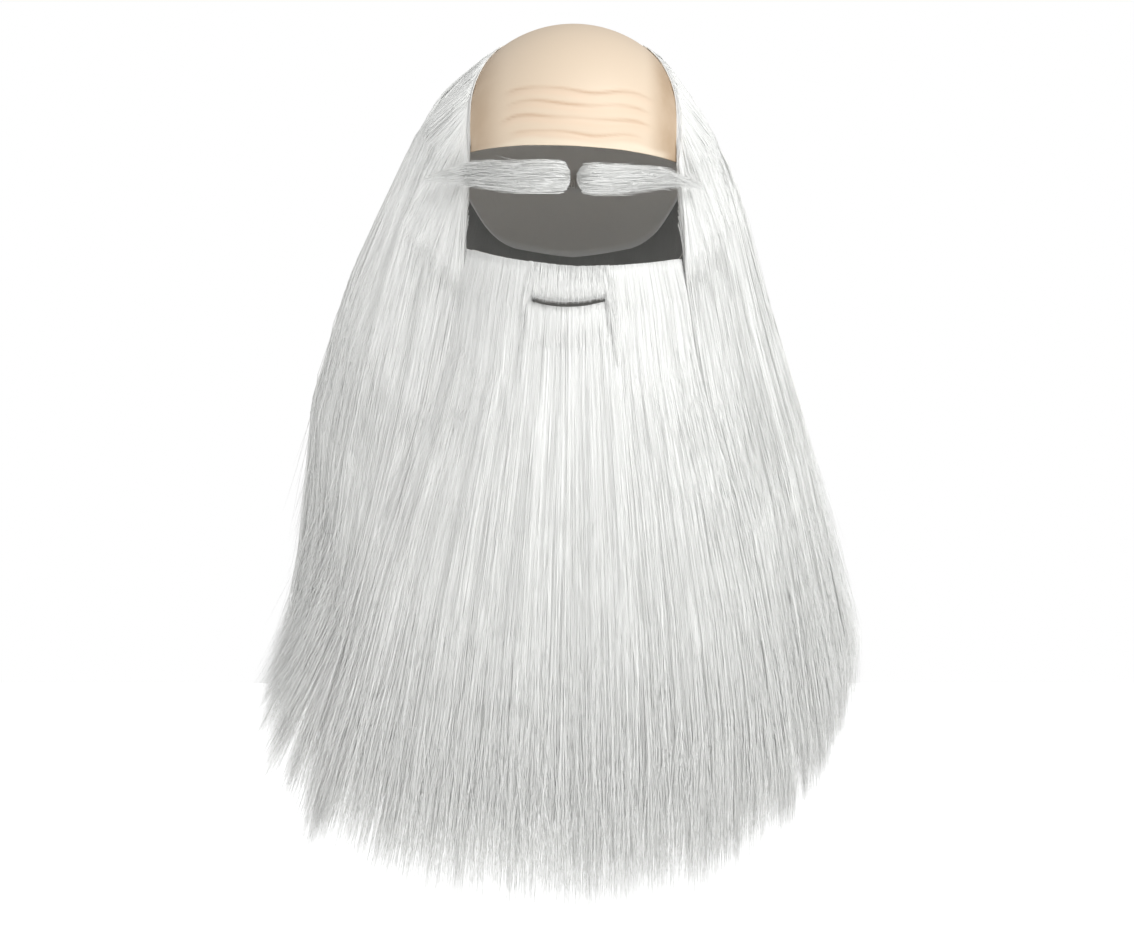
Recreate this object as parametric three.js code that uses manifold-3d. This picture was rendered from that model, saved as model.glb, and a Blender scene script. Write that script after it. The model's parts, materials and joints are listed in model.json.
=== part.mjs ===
// Wise man wig: a bald-topped cap with long straight hair, a full beard with moustache, and a pair of brows.
// Millimetres. +Z is up, the front looks along -Y, and the origin is inside the crown of the cap.
// Heights are given as drops below that point. Angles turn from the middle of the front, in degrees.
import * as THREE from "three";
import Module from "manifold-3d";
import { mergeVertices } from "three/addons/utils/BufferGeometryUtils.js";

const wasm = await Module();
wasm.setup();

// Driving dimensions

const head = { halfWidth: 78, halfLength: 99, crownHeight: 76 }; // the hollow that the pieces are made round
const frontLean = 0.049; // lines across the front drop this much for each millimetre towards +X
const gap = 0.4; // clearance between pieces that touch

const cap = { wall: 1.5, frontTurn: 64, creasedFrom: 0.7 };
const crease = { depth: 0.8, width: 1.7, waveHeight: 2.2, waveLength: 54, waveStart: -26, fade: 0.2 };
const base = { wall: 1.4, lift: cap.wall + 2.5 * gap };
const elastic = { lift: gap, wall: 0.8, width: 7, cornerTurn: 55, below: 7, riseTurn: 60, napeDrop: 98 };

const hair = { lift: 6.8, templeDrop: 92, crownDrop: 9, backDip: 10.5, sideY: 0, startTurn: 25 };
const lock = { ridge: 3.5, swellReach: 60, notch: 34, uneven: 11, thinFrom: 0.7, thinBy: 0.75 };
const shoulder = { drop: 240, reach: 200, sideOpening: 0.28, backOpening: 0.33 };
const fall = { reach: 90, least: 6 }; // drop over which a lock swings from the hairline to its own place

const beard = { bowTurn: 50, cornerDrop: 155, lipDrop: 166, tipDrop: 570, tipRise: 40, locks: 10 };
const beardLock = { ...lock, ridge: 3, notch: 22, uneven: 5, thinFrom: 0.75, swellDrop: 208, swellReach: 100 };
const mouth = { halfWidth: 24, top: 186, bottom: 193, halfTurn: 0.29, cornerTurn: 0.02 };
const fringe = { topThick: 2.6, lipThick: 4.6, bulge: 1.5 };
const backing = { wall: 2, bottom: 248 };
const brows = { leftReach: 100, rightReach: 86, backing: 0.5, wispFrom: 54 };

// Rim of the bald cap: the edge over the brow in front, then tucked under the hairline at the sides and back
const capRim = [
  { angle: 0, drop: 88.5 },
  { angle: 25, drop: 89 },
  { angle: 45, drop: 90.5 },
  { angle: 61, drop: 92 },
  { angle: 64, drop: 64 },
  { angle: 71, drop: 41 },
  { angle: 80, drop: 25 },
  { angle: 100, drop: 20 },
  { angle: 130, drop: 23 },
  { angle: 180, drop: 31 },
];

// Wrinkles across the front of the cap, from the top one down
const wrinkles = [
  { drop: 51, halfSpan: 46, depth: 0.7 },
  { drop: 60.5, halfSpan: 50, depth: 0.9 },
  { drop: 70, halfSpan: 52, depth: 1.0 },
  { drop: 80, halfSpan: 48, depth: 0.9 },
];

// Cloth base: from the hairline down to the sideburn, over the ear and round to the nape
const baseEdges = [
  { angle: 58, top: 84, bottom: 112 },
  { angle: 60, top: 62, bottom: 114 },
  { angle: 67, top: 36, bottom: 114 },
  { angle: 75, top: 20, bottom: 106 },
  { angle: 85, top: 14.5, bottom: 95 },
  { angle: 100, top: 14.5, bottom: 94 },
  { angle: 118, top: 16, bottom: 112 },
  { angle: 140, top: 19, bottom: 142 },
  { angle: 180, top: 24.5, bottom: 150 },
];

// Where the hair leaves the bald cap, at each side
const hairline = [
  { drop: 9, angle: 82 },
  { drop: 18, angle: 72 },
  { drop: 35, angle: 67 },
  { drop: 62, angle: 60 },
  { drop: 92, angle: 57 },
];

// Front edge of the hair below the temple: it hangs beside the cheek, then lies along the side of the beard
const frontEdge = [
  { drop: 92, left: 71, right: 71, y: -57.5 },
  { drop: 112, left: 73, right: 73, y: -55.5 },
  { drop: 153, left: 76.5, right: 76.5, y: -55 },
  { drop: 188, left: 80.5, right: 80.5, y: -59 },
  { drop: 223, left: 85, right: 84, y: -69 },
  { drop: 267, left: 97, right: 95, y: -85 },
  { drop: 326, left: 115, right: 111, y: -95 },
  { drop: 406, left: 137, right: 127, y: -100 },
  { drop: 485, left: 155, right: 135, y: -102 },
  { drop: 570, left: 165, right: 126, y: -102 },
];

// Outline of the hair: half width on each side, how far back it reaches, and how thick the curtain is
const hairOutline = [
  { drop: 9, left: 50, right: 45, back: 60, thick: 3 },
  { drop: 14, left: 57, right: 51, back: 69, thick: 4 },
  { drop: 24, left: 69, right: 61, back: 81, thick: 6 },
  { drop: 38, left: 83, right: 73, back: 96, thick: 10 },
  { drop: 56, left: 97, right: 86, back: 108, thick: 14 },
  { drop: 79, left: 109, right: 98, back: 117, thick: 17 },
  { drop: 100, left: 118, right: 108, back: 122, thick: 18 },
  { drop: 127, left: 131, right: 117, back: 126, thick: 18 },
  { drop: 158, left: 145, right: 124, back: 129, thick: 18 },
  { drop: 185, left: 155, right: 130, back: 131, thick: 18 },
  { drop: 219, left: 168, right: 140, back: 132, thick: 18 },
  { drop: 253, left: 177, right: 150, back: 133, thick: 18 },
  { drop: 307, left: 178, right: 164, back: 133, thick: 17 },
  { drop: 358, left: 181, right: 177, back: 133, thick: 16 },
  { drop: 398, left: 185, right: 187, back: 133, thick: 15 },
  { drop: 425, left: 196, right: 190, back: 133, thick: 13 },
  { drop: 447, left: 208, right: 184, back: 134, thick: 12 },
  { drop: 480, left: 203, right: 178, back: 134, thick: 10 },
  { drop: 520, left: 195, right: 160, back: 134, thick: 8 },
];

// Tips of the hair, by share of the way from the front edge to the side, and from the side round the back
const sideTips = [
  { share: 0, drop: 536 },
  { share: 0.35, drop: 514 },
  { share: 0.7, drop: 486 },
  { share: 1, drop: 449 },
];
const backTips = [
  { share: 0, drop: 455 },
  { share: 0.5, drop: 500 },
  { share: 1, drop: 455 },
];

// Cloth backing of the beard: half width, the middle of its front and the ends of its arms
const backingOutline = [
  { drop: 153, halfWidth: 65, front: -107, edge: -58 },
  { drop: 188, halfWidth: 65, front: -108, edge: -60 },
  { drop: 223, halfWidth: 60, front: -108, edge: -62 },
  { drop: 250, halfWidth: 52, front: -104, edge: -62 },
];

// Outer face of the beard
const beardOutline = [
  { drop: 153, left: 71, right: 71, front: -112.5, edge: -59, thick: 2.8 },
  { drop: 188, left: 76, right: 76, front: -117, edge: -63, thick: 6 },
  { drop: 223, left: 80, right: 79, front: -121, edge: -73, thick: 10 },
  { drop: 267, left: 92, right: 90, front: -125, edge: -89, thick: 18 },
  { drop: 326, left: 110, right: 106, front: -128, edge: -99, thick: 22 },
  { drop: 406, left: 132, right: 122, front: -130, edge: -104, thick: 20 },
  { drop: 485, left: 150, right: 130, front: -130, edge: -106, thick: 15 },
  { drop: 570, left: 160, right: 120, front: -128, edge: -106, thick: 8 },
];

// Brows, from the inner end outwards: the back of the brow, its half height and how far it stands out
const browOutline = [
  { reach: 2, y: -100.5, drop: 109, halfHeight: 7, thick: 5 },
  { reach: 7, y: -100.5, drop: 109, halfHeight: 9.5, thick: 9 },
  { reach: 20, y: -97.5, drop: 109, halfHeight: 10.5, thick: 10 },
  { reach: 36, y: -90, drop: 109, halfHeight: 10.5, thick: 10 },
  { reach: 54, y: -75, drop: 107.5, halfHeight: 9.5, thick: 8.5 },
  { reach: 70, y: -66, drop: 107, halfHeight: 7.5, thick: 6 },
  { reach: 88, y: -62.5, drop: 109.5, halfHeight: 4, thick: 3 },
  { reach: 108, y: -57, drop: 113, halfHeight: 1.4, thick: 1.4 },
];

// Finishes

const finish = (color, roughness) => new THREE.MeshStandardMaterial({ color, roughness, metalness: 0 });
const skinRubber = () => finish(0xe9d5b8, 0.55);
const whiteHair = () => finish(0xe2e4e1, 0.45);
const whiteCloth = () => finish(0xdcdcd6, 0.9);
const whiteElastic = () => finish(0xeeece6, 0.8);

// Small helpers

const radians = THREE.MathUtils.degToRad;
const quarter = Math.PI / 2;
const smooth = (t) => THREE.MathUtils.smoothstep(t, 0, 1);
const steps = (from, to, count) =>
  Array.from({ length: count + 1 }, (_, i) => from + ((to - from) * i) / count);
const fromFront = (angle) => Math.min(Math.abs(angle), 360 - Math.abs(angle));

// The value of one column of a table where its key column reaches the given value
function read(table, key, at, column) {
  const last = table.length - 1;
  if (at <= table[0][key]) return table[0][column];
  if (at >= table[last][key]) return table[last][column];
  const next = table.findIndex((row) => row[key] > at);
  const [low, high] = [table[next - 1], table[next]];
  return THREE.MathUtils.mapLinear(at, low[key], high[key], low[column], high[column]);
}

// A point on the surface of the head hollow, lifted off it
function onHead(angle, drop, lift) {
  const turn = radians(angle);
  const tilt = Math.acos(Math.max(0, 1 - drop / head.crownHeight));
  const below = Math.max(0, drop - head.crownHeight);
  return new THREE.Vector3(
    (head.halfWidth + lift) * Math.sin(tilt) * Math.sin(turn),
    -(head.halfLength + lift) * Math.sin(tilt) * Math.cos(turn),
    (head.crownHeight + lift) * Math.cos(tilt) - head.crownHeight - below,
  );
}

// Size of the hollow's level section at a drop, as a share of its widest one
function levelShare(drop, lift) {
  const cosine = Math.max(0, (head.crownHeight - drop) / (head.crownHeight + lift));
  return Math.sqrt(Math.max(0, 1 - cosine * cosine));
}

// The same point moved straight outwards until it clears the hollow by the given lift
function clearOfHead(point, lift) {
  const around = levelShare(-point.z, lift);
  const across = point.x / ((head.halfWidth + lift) * around);
  const along = point.y / ((head.halfLength + lift) * around);
  const share = Math.hypot(across, along);
  if (around === 0 || share >= 1) return point;
  return new THREE.Vector3(point.x / share, point.y / share, point.z);
}

// A closed wall between two faces, each given as a function of a column value and a row value
function wall({ columns, rows, outer, inner, ring = false }) {
  const corners = [];
  for (const face of [outer, inner])
    for (const column of columns) for (const row of rows) corners.push(...face(column, row).toArray());
  const at = (face, column, row) => (face * columns.length + (column % columns.length)) * rows.length + row;
  const triangles = [];
  const quad = (a, b, c, d) => triangles.push([a, b, c], [a, c, d]);
  const lastRow = rows.length - 1;
  const spans = ring ? columns.length : columns.length - 1;
  for (let i = 0; i < spans; i++) {
    for (let j = 0; j < lastRow; j++) {
      quad(at(0, i, j), at(0, i + 1, j), at(0, i + 1, j + 1), at(0, i, j + 1));
      quad(at(1, i, j + 1), at(1, i + 1, j + 1), at(1, i + 1, j), at(1, i, j));
    }
    quad(at(1, i, 0), at(1, i + 1, 0), at(0, i + 1, 0), at(0, i, 0));
    quad(at(0, i, lastRow), at(0, i + 1, lastRow), at(1, i + 1, lastRow), at(1, i, lastRow));
  }
  for (let j = 0; j < lastRow && !ring; j++) {
    quad(at(0, 0, j), at(0, 0, j + 1), at(1, 0, j + 1), at(1, 0, j));
    quad(at(1, spans, j), at(1, spans, j + 1), at(0, spans, j + 1), at(0, spans, j));
  }
  const loose = new THREE.BufferGeometry();
  loose.setAttribute("position", new THREE.Float32BufferAttribute(corners, 3));
  loose.setIndex(triangles.flat());
  const merged = mergeVertices(loose, 1e-3);
  return facingOut(merged.attributes.position, merged.index.array);
}

// The geometry with collapsed triangles left out and its faces pointing outwards
function facingOut(position, index) {
  const kept = [];
  let volume = 0;
  const [a, b, c] = [new THREE.Vector3(), new THREE.Vector3(), new THREE.Vector3()];
  for (let i = 0; i < index.length; i += 3) {
    const [p, q, r] = index.slice(i, i + 3);
    if (p === q || q === r || r === p) continue;
    kept.push([p, q, r]);
    a.fromBufferAttribute(position, p);
    b.fromBufferAttribute(position, q);
    c.fromBufferAttribute(position, r);
    volume += a.dot(b.cross(c));
  }
  const geometry = new THREE.BufferGeometry();
  geometry.setAttribute("position", position);
  geometry.setIndex(kept.flatMap((corner) => (volume < 0 ? corner.reverse() : corner)));
  geometry.computeVertexNormals();
  return geometry;
}

// A geometry as a solid that can be joined and cut, and back
function solidOf(geometry) {
  const bare = geometry.clone().deleteAttribute("normal").deleteAttribute("uv");
  const merged = mergeVertices(bare, 1e-3);
  const vertProperties = new Float32Array(merged.attributes.position.array);
  return new wasm.Manifold(
    new wasm.Mesh({ numProp: 3, vertProperties, triVerts: new Uint32Array(merged.index.array) }),
  );
}

function geometryOf(solid) {
  const { vertProperties, triVerts } = solid.getMesh();
  const geometry = new THREE.BufferGeometry();
  geometry.setAttribute("position", new THREE.BufferAttribute(vertProperties, 3));
  geometry.setIndex(new THREE.BufferAttribute(triVerts, 1));
  geometry.computeVertexNormals();
  return geometry;
}

// Bald cap

// How deep the wrinkles cut at a point of the cap's front
function wrinkleDepth(x, drop) {
  const wave = crease.waveHeight * Math.cos((2 * Math.PI * (x - crease.waveStart)) / crease.waveLength);
  return wrinkles.reduce((deep, { drop: middle, halfSpan, depth }) => {
    const off = (drop - (middle + frontLean * x - wave)) / crease.width;
    const fade = 1 - smooth((Math.abs(x) - halfSpan * (1 - crease.fade)) / (halfSpan * crease.fade));
    return deep + depth * crease.depth * fade * Math.exp(-off * off);
  }, 0);
}

// A point of the cap, by angle and by share of the way from the crown to the rim
function onCap(angle, share, lift) {
  const rim = read(capRim, "angle", fromFront(angle), "drop");
  const lean = fromFront(angle) < cap.frontTurn ? frontLean * head.halfWidth * Math.sin(radians(angle)) : 0;
  const tilt = share * Math.acos(Math.max(0, 1 - rim / head.crownHeight));
  const skirt = Math.max(0, (share - cap.creasedFrom) / (1 - cap.creasedFrom));
  const drop = head.crownHeight * (1 - Math.cos(tilt)) + Math.max(0, rim + lean - head.crownHeight) * skirt;
  const point = onHead(angle, Math.min(drop, head.crownHeight), lift);
  point.z -= Math.max(0, drop - head.crownHeight);
  return point;
}

function baldCap() {
  const frontColumns = steps(-cap.frontTurn, cap.frontTurn, 18);
  const backColumns = steps(cap.frontTurn + 10, 360 - cap.frontTurn - 10, 11);
  const plainRows = steps(0, cap.creasedFrom, 5);
  const creasedRows = steps(cap.creasedFrom, 1, 14);
  const outer = (angle, share) => {
    const plain = onCap(angle, share, cap.wall);
    const deep = plain.y < 0 ? wrinkleDepth(plain.x, -plain.z) : 0;
    return deep > 0.01 ? onCap(angle, share, cap.wall - deep) : plain;
  };
  return wall({
    columns: [...frontColumns, ...backColumns],
    rows: [...plainRows, ...creasedRows.slice(1)],
    outer,
    inner: (angle, share) => onCap(angle, share, 0),
    ring: true,
  });
}

// Cloth base under the hair

function wigBase() {
  const temple = [58, 59, 60, 62, 64, 66, 68, 71, 75, 80];
  const columns = [...temple, ...steps(88, 272, 18), ...temple.map((angle) => 360 - angle).reverse()];
  const place = (lift) => (angle, share) => {
    const top = read(baseEdges, "angle", fromFront(angle), "top");
    const bottom = read(baseEdges, "angle", fromFront(angle), "bottom");
    return onHead(angle, top + (bottom - top) * share, lift);
  };
  return wall({ columns, rows: steps(0, 1, 8), outer: place(base.lift + base.wall), inner: place(base.lift) });
}

// Hair

// How a lock swells between its two edges, from 0 at an edge to 1 in its middle
const swell = (share, locks) => Math.abs(Math.sin(Math.PI * share * locks));

// How much longer or shorter than its neighbours a lock is, from -1 to 1
const unevenness = (share, locks) => Math.sin(2.4 * Math.floor(share * locks + 1e-6) + 1);

// Shares of a lock's length, closer together near its root
const hairRows = [0, 0.02, 0.05, 0.09, 0.14, 0.2, 0.28, 0.38, 0.5, 0.62, 0.74, 0.87, 1];

// Opening over the shoulder, from 0 above it to 1 at the tips
const overShoulder = (drop) => smooth((drop - shoulder.drop) / shoulder.reach);

function hairFront(drop, side) {
  if (drop >= hair.templeDrop)
    return { x: read(frontEdge, "drop", drop, side), y: read(frontEdge, "drop", drop, "y") };
  const turn = radians(read(hairline, "drop", drop, "angle"));
  const around = levelShare(drop, hair.lift);
  return {
    x: (head.halfWidth + hair.lift) * around * Math.sin(turn),
    y: -(head.halfLength + hair.lift) * around * Math.cos(turn),
  };
}

function hairWall({ columns, locks, rootDrop, tips, section }) {
  const face = (inward) => (share, along) => {
    const ridge = swell(share, locks);
    const root = rootDrop(share);
    const cut = lock.notch * (1 - ridge) + lock.uneven * unevenness(share, locks) * ridge;
    const tip = read(tips, "share", share, "drop") - cut;
    const drop = root + (tip - root) * along;
    const { x, y, out } = section(share, drop);
    const thin = 1 - lock.thinBy * smooth((along - lock.thinFrom) / (1 - lock.thinFrom));
    const swelling = lock.ridge * ridge * smooth((drop - root) / lock.swellReach);
    const depth = inward ? -read(hairOutline, "drop", drop, "thick") * thin : swelling;
    const point = new THREE.Vector3(x + out.x * depth, y + out.y * depth, -drop);
    return clearOfHead(point, inward ? base.lift + base.wall + 3 * gap : hair.lift);
  };
  return wall({ columns, rows: hairRows, outer: face(false), inner: face(true) });
}

// Hair of one side, which falls in front of the shoulder
function sideHair(side, sign) {
  const rootDrop = (share) => hair.templeDrop + (hair.crownDrop - hair.templeDrop) * share;
  const start = radians(hair.startTurn);
  const sideY = hair.sideY - gap;
  const section = (share, drop) => {
    const swing = smooth((drop - rootDrop(share)) / Math.max(fall.least, fall.reach * (1 - share)));
    const turn = start + (quarter - start) * share * swing * (1 - shoulder.sideOpening * overShoulder(drop));
    const front = hairFront(drop, side);
    const width = read(hairOutline, "drop", drop, side);
    const outward = (Math.sin(turn) - Math.sin(start)) / (1 - Math.sin(start));
    return {
      x: sign * (front.x + (width - front.x) * outward),
      y: sideY + ((front.y - sideY) * Math.cos(turn)) / Math.cos(start),
      out: new THREE.Vector2(sign * Math.sin(turn), -Math.cos(turn)),
    };
  };
  return hairWall({ columns: steps(0, 1, 20), locks: 5, rootDrop, tips: sideTips, section });
}

// Hair of the back, from one side round to the other, which falls behind the shoulders
function backHair() {
  const rootDrop = (share) => hair.crownDrop + hair.backDip * Math.sin(Math.PI * share);
  const sideY = hair.sideY + gap;
  const section = (share, drop) => {
    const start = shoulder.backOpening * overShoulder(drop) * quarter;
    const turn = start + (Math.PI - 2 * start) * share;
    const left = read(hairOutline, "drop", drop, "left");
    const right = read(hairOutline, "drop", drop, "right");
    const width = left + (right - left) * smooth(share);
    return {
      x: -width * Math.cos(turn),
      y: sideY + (read(hairOutline, "drop", drop, "back") - sideY) * Math.sin(turn),
      out: new THREE.Vector2(-Math.cos(turn), Math.sin(turn)),
    };
  };
  return hairWall({ columns: steps(0, 1, 40), locks: 10, rootDrop, tips: backTips, section });
}

// Beard

// A point of a bowed section: turn runs from -1 at the left arm through 0 in front to 1 at the right arm
function bowSection(turn, halfWidth, front, edge) {
  const [angle, last] = [radians(beard.bowTurn * turn), radians(beard.bowTurn)];
  const across = halfWidth / Math.sin(last);
  const deep = (edge - front) / (1 - Math.cos(last));
  return {
    x: across * Math.sin(angle),
    y: edge - deep * (Math.cos(angle) - Math.cos(last)),
    out: new THREE.Vector2(deep * Math.sin(angle), -across * Math.cos(angle)).normalize(),
  };
}

// Upper edge of the beard: it rises from the lip to the corner on each cheek
function beardTop(turn) {
  const x = backingOutline[0].halfWidth * turn;
  const level = beard.lipDrop + (beard.cornerDrop - beard.lipDrop) * Math.abs(turn) ** 1.5;
  return level + frontLean * x;
}

function beardBacking() {
  const face = (lift) => (turn, along) => {
    const top = beardTop(turn);
    const drop = top + (backing.bottom - top) * along;
    const at = (column) => read(backingOutline, "drop", drop, column);
    const { x, y, out } = bowSection(turn, at("halfWidth"), at("front"), at("edge"));
    return new THREE.Vector3(x + out.x * lift, y + out.y * lift, -drop);
  };
  const columns = steps(-1, 1, 24);
  const cloth = wall({ columns, rows: steps(0, 1, 5), outer: face(backing.wall), inner: face(0) });
  const slit = new THREE.BoxGeometry(2 * mouth.halfWidth, head.halfWidth, mouth.bottom - mouth.top);
  slit.translate(0, backingOutline[1].front, -(mouth.top + mouth.bottom) / 2);
  return geometryOf(solidOf(cloth).subtract(solidOf(slit)));
}

// Outer face of the beard at a turn and drop, lifted outwards
function onBeard(turn, drop, lift) {
  const at = (column) => read(beardOutline, "drop", drop, column);
  const { x, y, out } = bowSection(turn, at(turn < 0 ? "left" : "right"), at("front"), at("edge"));
  return new THREE.Vector3(x + out.x * lift, y + out.y * lift, -drop);
}

function beardHair() {
  const chinTurn = mouth.halfTurn + mouth.cornerTurn;
  const root = (turn) => (Math.abs(turn) < chinTurn ? mouth.bottom : beardTop(turn) + gap);
  const face = (inward) => (turn, along) => {
    const share = (turn + 1) / 2;
    const ridge = swell(share, beard.locks);
    const cut = beardLock.notch * (1 - ridge) + beardLock.uneven * ridge * (1 + unevenness(share, beard.locks));
    const tip = beard.tipDrop - beard.tipRise * Math.abs(turn) ** 2.5 - cut;
    const drop = root(turn) + (tip - root(turn)) * along;
    const thin = 1 - beardLock.thinBy * smooth((along - beardLock.thinFrom) / (1 - beardLock.thinFrom));
    const swelling = beardLock.ridge * ridge * smooth((drop - beardLock.swellDrop) / beardLock.swellReach);
    return onBeard(turn, drop, inward ? -read(beardOutline, "drop", drop, "thick") * thin : swelling);
  };
  return wall({ columns: steps(-1, 1, 40), rows: steps(0, 1, 12), outer: face(false), inner: face(true) });
}

// Short fringe over the mouth slit
function moustache() {
  const face = (inward) => (turn, along) => {
    const top = beardTop(turn) + gap;
    const drop = top + (mouth.top - top) * along;
    const thick = fringe.topThick + (fringe.lipThick - fringe.topThick) * along;
    return onBeard(turn, drop, inward ? -thick : fringe.bulge * Math.sin(2 * along));
  };
  const columns = steps(-mouth.halfTurn, mouth.halfTurn, 10);
  return wall({ columns, rows: steps(0, 1, 4), outer: face(false), inner: face(true) });
}

// Strap from one corner of the beard, up round the back of the head, to the other corner
function beardElastic() {
  const half = steps(elastic.cornerTurn, 180, 14);
  const columns = [...half, ...half.slice(0, -1).reverse().map((angle) => 360 - angle)];
  const level = (angle) => {
    const corner = beardTop(angle < 180 ? 1 : -1) + elastic.below;
    const rise = smooth((fromFront(angle) - elastic.cornerTurn) / elastic.riseTurn);
    return THREE.MathUtils.lerp(corner, elastic.napeDrop, rise);
  };
  const face = (lift) => (angle, across) => onHead(angle, level(angle) + across, lift);
  const rows = steps(-elastic.width / 2, elastic.width / 2, 1);
  return wall({ columns, rows, outer: face(elastic.lift + elastic.wall), inner: face(elastic.lift) });
}

// Brows

function brow(sign, lastReach) {
  const at = (reach, column) => read(browOutline, "reach", reach, column);
  const tableReach = browOutline.at(-1).reach;
  const shrink = (reach) => {
    const wisp = Math.max(0, (reach - brows.wispFrom) / (tableReach - brows.wispFrom));
    return 1 + (lastReach / tableReach - 1) * wisp;
  };
  const face = (front) => (reach, across) => {
    const x = sign * reach * shrink(reach);
    const slope = Math.atan2(at(reach + 2, "y") - at(reach - 2, "y"), 4);
    const stand = front ? brows.backing + at(reach, "thick") * Math.sqrt(1 - across * across) : 0;
    const drop = at(reach, "drop") + frontLean * x + at(reach, "halfHeight") * across;
    const y = at(reach, "y") - Math.cos(slope) * stand;
    return new THREE.Vector3(x + sign * Math.sin(slope) * stand, y, -drop);
  };
  const columns = browOutline.map((row) => row.reach);
  return wall({ columns, rows: steps(-1, 1, 8), outer: face(true), inner: face(false) });
}

// Assembly

const piece = (name, geometry, material) => {
  const mesh = new THREE.Mesh(geometry, material);
  mesh.name = name;
  return mesh;
};

const wig = new THREE.Group();
wig.add(
  piece("bald_cap", baldCap(), skinRubber()),
  piece("wig_base", wigBase(), whiteCloth()),
  piece("hair_left", sideHair("left", -1), whiteHair()),
  piece("hair_right", sideHair("right", 1), whiteHair()),
  piece("hair_back", backHair(), whiteHair()),
);

const beardSet = new THREE.Group();
beardSet.add(
  piece("beard_backing", beardBacking(), whiteCloth()),
  piece("beard_hair", beardHair(), whiteHair()),
  piece("moustache", moustache(), whiteHair()),
  piece("beard_elastic", beardElastic(), whiteElastic()),
);

const browPair = new THREE.Group();
browPair.add(
  piece("brow_left", brow(-1, brows.leftReach), whiteHair()),
  piece("brow_right", brow(1, brows.rightReach), whiteHair()),
);

const wiseManWig = new THREE.Group();
wiseManWig.add(wig, beardSet, browPair);

export default wiseManWig;
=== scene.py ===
# Wise man wig: the looks of the bald cap, the long hair, the beard and the brows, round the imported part
import json
import math

import bmesh
import bpy
import numpy as np
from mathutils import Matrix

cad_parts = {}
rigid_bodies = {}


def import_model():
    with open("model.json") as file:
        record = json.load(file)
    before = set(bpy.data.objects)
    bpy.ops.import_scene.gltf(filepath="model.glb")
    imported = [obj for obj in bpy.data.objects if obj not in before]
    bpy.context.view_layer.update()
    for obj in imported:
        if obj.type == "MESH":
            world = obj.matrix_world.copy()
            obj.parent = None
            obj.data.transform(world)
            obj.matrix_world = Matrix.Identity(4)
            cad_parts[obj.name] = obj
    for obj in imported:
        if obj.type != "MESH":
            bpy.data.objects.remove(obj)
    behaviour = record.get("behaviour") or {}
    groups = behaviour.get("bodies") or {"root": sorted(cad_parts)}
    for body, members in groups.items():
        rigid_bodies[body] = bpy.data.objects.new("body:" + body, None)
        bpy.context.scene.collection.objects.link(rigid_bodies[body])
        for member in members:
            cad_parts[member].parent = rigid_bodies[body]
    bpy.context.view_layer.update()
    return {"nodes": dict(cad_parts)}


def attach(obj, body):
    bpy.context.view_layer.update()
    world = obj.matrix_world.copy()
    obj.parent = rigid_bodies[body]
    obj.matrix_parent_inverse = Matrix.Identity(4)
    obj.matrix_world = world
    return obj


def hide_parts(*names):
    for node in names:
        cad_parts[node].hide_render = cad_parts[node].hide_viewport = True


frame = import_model()
mm = 0.001  # the tables below are in millimetres, and a drop is measured down from inside the crown

head = {"halfWidth": 78, "halfLength": 99, "crownHeight": 76, "lean": 0.049}


# Reading the tables

def smoothStep(t):
    t = np.clip(t, 0, 1)
    return t * t * (3 - 2 * t)


def blend(first, second, t):
    return first + (second - first) * t


def readTable(table, key, at, column, soften=0):
    at = np.asarray(at, float)
    shifts = np.linspace(-soften, soften, 5) if soften else [0]
    return sum(np.interp(at + shift, table[key], table[column]) for shift in shifts) / len(shifts)


def levelShare(drop, lift):
    cosine = np.clip((head["crownHeight"] - drop) / (head["crownHeight"] + lift), 0, 1)
    return np.sqrt(np.maximum(1 - cosine ** 2, 1e-9))


def headShare(x, y, drop, lift):
    # 1 where a point stands off the hollow by exactly the lift, more outside that
    around = levelShare(drop, lift)
    across = x / ((head["halfWidth"] + lift) * around)
    along = y / ((head["halfLength"] + lift) * around)
    return np.maximum(np.hypot(across, along), 1e-6)


def clearOfHead(x, y, drop, lift):
    grow = np.maximum(1, 1 / headShare(x, y, drop, lift))
    return x * grow, y * grow


def onHead(angle, drop, lift):
    turn = np.radians(angle)
    tilt = np.arccos(np.clip(1 - drop / head["crownHeight"], 0, 1))
    below = np.maximum(0, drop - head["crownHeight"])
    x = (head["halfWidth"] + lift) * np.sin(tilt) * np.sin(turn)
    y = -(head["halfLength"] + lift) * np.sin(tilt) * np.cos(turn)
    z = (head["crownHeight"] + lift) * np.cos(tilt) - head["crownHeight"] - below
    return np.stack([x, y, z], axis=-1)


# Making meshes

def deselectAll():
    bpy.ops.object.select_all(action="DESELECT")


def gridSheet(name, columns, rows, place, wall):
    # a flat grid is laid out, each point is moved to its place on the piece, and the sheet gets its wall
    deselectAll()
    bpy.ops.mesh.primitive_grid_add(x_subdivisions=columns, y_subdivisions=rows, size=1, calc_uvs=True)
    sheet = bpy.context.object
    sheet.name = name
    sheet.data.name = name
    flat = np.empty(len(sheet.data.vertices) * 3)
    sheet.data.vertices.foreach_get("co", flat)
    flat = flat.reshape(-1, 3)
    points, marks = place(flat[:, 0] + 0.5, flat[:, 1] + 0.5)
    sheet.data.vertices.foreach_set("co", (np.asarray(points) * mm).ravel())
    for mark, values in marks.items():
        layer = sheet.data.attributes.new(mark, "FLOAT", "POINT")
        layer.data.foreach_set("value", np.asarray(values, np.float32))
    bpy.ops.object.mode_set(mode="EDIT")
    bpy.ops.mesh.select_all(action="SELECT")
    bpy.ops.mesh.remove_doubles(threshold=0.00002)
    bpy.ops.mesh.dissolve_degenerate(threshold=0.00001)
    bpy.ops.object.mode_set(mode="OBJECT")
    faceOutwards(sheet)
    if wall:
        addWall(sheet, wall)
    bpy.ops.object.shade_smooth()
    return sheet


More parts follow.
